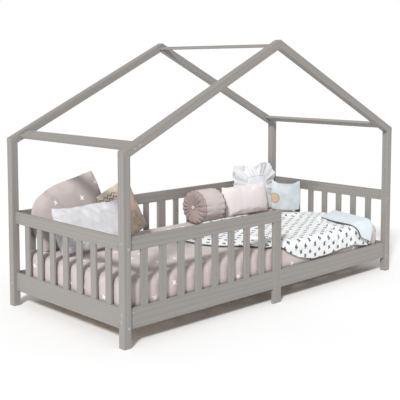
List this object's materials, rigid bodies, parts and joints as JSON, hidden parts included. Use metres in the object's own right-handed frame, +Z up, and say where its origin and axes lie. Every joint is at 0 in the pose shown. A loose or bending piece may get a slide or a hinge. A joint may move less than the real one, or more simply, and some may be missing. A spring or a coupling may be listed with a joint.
{
  "type": "toddler bed",
  "caption": "Painted wooden house-frame bed with slatted guards, an open side, slatted base, mattress, quilt and loose cushions.",
  "frame": {"origin": "on the floor, under the middle of the bed's outline", "axes": "+X along the bed towards the open end of the front, +Y from the open side to the back, +Z up"},
  "size_m": [2.08, 0.966, 1.3902],
  "materials": {
    "grey_paint_on_pine": "thin satin paint with the grain showing faintly",
    "bare_pine": "planed, unfinished",
    "beech": "unfinished",
    "zinc_steel": "zinc plated",
    "pink_cotton": "matt woven cotton with small scattered motifs",
    "white_cotton": "matt, crumpled",
    "printed_cotton": "matt, with a scattered print",
    "knit_wool": "coarse knit",
    "blush_cotton": "matt",
    "white_tulle": "sheer, gathered",
    "blue_cotton": "soft brushed cotton"
  },
  "bodies": {
    "frame": {"balusters_back_left": "grey_paint_on_pine", "balusters_back_right": "grey_paint_on_pine", "balusters_end_left": "grey_paint_on_pine", "balusters_end_right": "grey_paint_on_pine", "balusters_front": "grey_paint_on_pine", "barrel_nuts": "zinc_steel", "base_screws": "zinc_steel", "centre_leg_back": "grey_paint_on_pine", "centre_leg_front": "grey_paint_on_pine", "dowels": "beech", "eave_board_left": "grey_paint_on_pine", "eave_board_right": "grey_paint_on_pine", "end_bottom_rail_left": "grey_paint_on_pine", "end_bottom_rail_right": "grey_paint_on_pine", "end_top_rail_left": "grey_paint_on_pine", "end_top_rail_right": "grey_paint_on_pine", "frame_bolts": "zinc_steel", "guard_top_rail_back_left": "grey_paint_on_pine", "guard_top_rail_back_right": "grey_paint_on_pine", "guard_top_rail_front": "grey_paint_on_pine", "lower_post_back_left": "grey_paint_on_pine", "lower_post_back_right": "grey_paint_on_pine", "lower_post_front_left": "grey_paint_on_pine", "lower_post_front_right": "grey_paint_on_pine", "rafter_back_left": "grey_paint_on_pine", "rafter_back_right": "grey_paint_on_pine", "rafter_front_left": "grey_paint_on_pine", "rafter_front_right": "grey_paint_on_pine", "ridge_board": "grey_paint_on_pine", "roof_screws": "zinc_steel", "side_rail_back_left": "grey_paint_on_pine", "side_rail_back_right": "grey_paint_on_pine", "side_rail_front_left": "grey_paint_on_pine", "side_rail_front_right": "grey_paint_on_pine", "slat_01": "bare_pine", "slat_02": "bare_pine", "slat_03": "bare_pine", "slat_04": "bare_pine", "slat_05": "bare_pine", "slat_06": "bare_pine", "slat_07": "bare_pine", "slat_08": "bare_pine", "slat_09": "bare_pine", "slat_10": "bare_pine", "slat_ledger_back": "bare_pine", "slat_ledger_front": "bare_pine", "upper_post_back_left": "grey_paint_on_pine", "upper_post_back_right": "grey_paint_on_pine", "upper_post_front_left": "grey_paint_on_pine", "upper_post_front_right": "grey_paint_on_pine"},
    "mattress": {"mattress": "pink_cotton"},
    "blanket": {"blanket": "printed_cotton"},
    "pink_pillow": {"pink_pillow": "pink_cotton"},
    "white_pillow": {"white_pillow": "white_cotton"},
    "knit_cushion": {"knit_cushion": "knit_wool"},
    "bolster": {"bolster": "pink_cotton"},
    "blush_cushion": {"blush_cushion": "blush_cotton"},
    "ruffled_cushion": {"ruffled_cushion": "white_tulle"},
    "blue_cushion": {"blue_cushion": "blue_cotton"}
  },
  "joints": [
    {"name": "mattress_lift", "type": "slide", "parent": "frame", "child": "mattress", "axis": [0, 0, 1], "range_m": [0, 0.06]},
    {"name": "blanket_lift", "type": "slide", "parent": "mattress", "child": "blanket", "axis": [0, 0, 1], "range_m": [0, 0.08]},
    {"name": "pink_pillow_lift", "type": "slide", "parent": "mattress", "child": "pink_pillow", "axis": [0, 0.2079, 0.9781], "range_m": [0, 0.12]},
    {"name": "white_pillow_lift", "type": "slide", "parent": "mattress", "child": "white_pillow", "axis": [0, 0.2079, 0.9781], "range_m": [0, 0.12]},
    {"name": "knit_cushion_lift", "type": "slide", "parent": "mattress", "child": "knit_cushion", "axis": [0, 0.2079, 0.9781], "range_m": [0, 0.12]},
    {"name": "bolster_lift", "type": "slide", "parent": "mattress", "child": "bolster", "axis": [0, 0, 1], "range_m": [0, 0.12]},
    {"name": "blush_cushion_lift", "type": "slide", "parent": "mattress", "child": "blush_cushion", "axis": [0, 0.2079, 0.9781], "range_m": [0, 0.12]},
    {"name": "ruffled_cushion_lift", "type": "slide", "parent": "mattress", "child": "ruffled_cushion", "axis": [0, 0.1736, 0.9848], "range_m": [0, 0.12]},
    {"name": "blue_cushion_lift", "type": "slide", "parent": "mattress", "child": "blue_cushion", "axis": [0.114, 0.0798, 0.9903], "range_m": [0, 0.12]}
  ]
}
